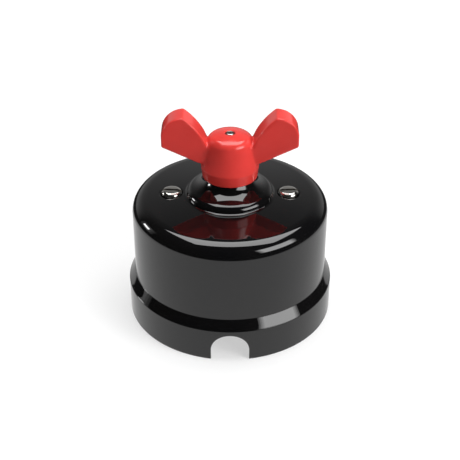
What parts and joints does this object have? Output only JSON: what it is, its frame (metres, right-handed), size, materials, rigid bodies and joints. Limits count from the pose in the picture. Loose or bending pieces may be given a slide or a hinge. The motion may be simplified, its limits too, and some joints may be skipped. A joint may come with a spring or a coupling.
{
  "type": "porcelain rotary switch",
  "caption": "Surface-mounted rotary switch with a round glazed porcelain cover, cable notch, turned collar and a butterfly knob that turns a knife contact.",
  "frame": {"origin": "centre of the cover's foot, on the wall plane", "axes": "+Z out of the wall along the shaft, towards the knob; -Y towards the cable notch; X along the knob's wings and the cover screws"},
  "size_m": [0.07, 0.07, 0.0726],
  "materials": {
    "black_porcelain": "black glaze, high gloss",
    "white_porcelain": "clear glaze over white body",
    "bright_nickel": "polished nickel plate",
    "red_plastic": "moulded red, satin gloss",
    "brass": "machined and bent brass",
    "spring_bronze": "phosphor bronze strip",
    "plated_steel": "zinc plated",
    "spring_steel": "blued strip",
    "brown_insulator": "moulded phenolic"
  },
  "bodies": {
    "housing": {"cover": "black_porcelain", "cover_screws": "bright_nickel", "bridge_bush": "brass", "bearing_bridge": "plated_steel", "upper_pillars": "brass", "lower_pillars": "brass", "base": "white_porcelain", "base_bush": "brass", "base_screws": "plated_steel", "contact_jaw_rear": "brass", "contact_jaw_front": "brass", "contact_spring_rear": "spring_bronze", "contact_spring_front": "spring_bronze", "jaw_rivets": "brass", "terminal_block_rear": "brass", "terminal_block_front": "brass", "terminal_screws": "plated_steel", "terminal_fixing_screws": "plated_steel", "index_spring_rear": "spring_steel", "index_spring_front": "spring_steel", "spring_screws": "plated_steel"},
    "rotor": {"knob": "red_plastic", "knob_insert": "brass", "knob_screw": "bright_nickel", "shaft": "plated_steel", "retaining_ring": "spring_steel", "square_cam": "brown_insulator", "lower_drum": "brown_insulator", "contact_blade": "brass", "upper_drum": "brown_insulator", "thrust_washer": "plated_steel"}
  },
  "joints": [
    {"name": "knob_turn", "type": "hinge", "parent": "housing", "child": "rotor", "pos_m": [0, 0, 0.0498], "axis": [0, 0, 1], "continuous": true, "deforming": ["index_spring_rear", "index_spring_front"]}
  ]
}
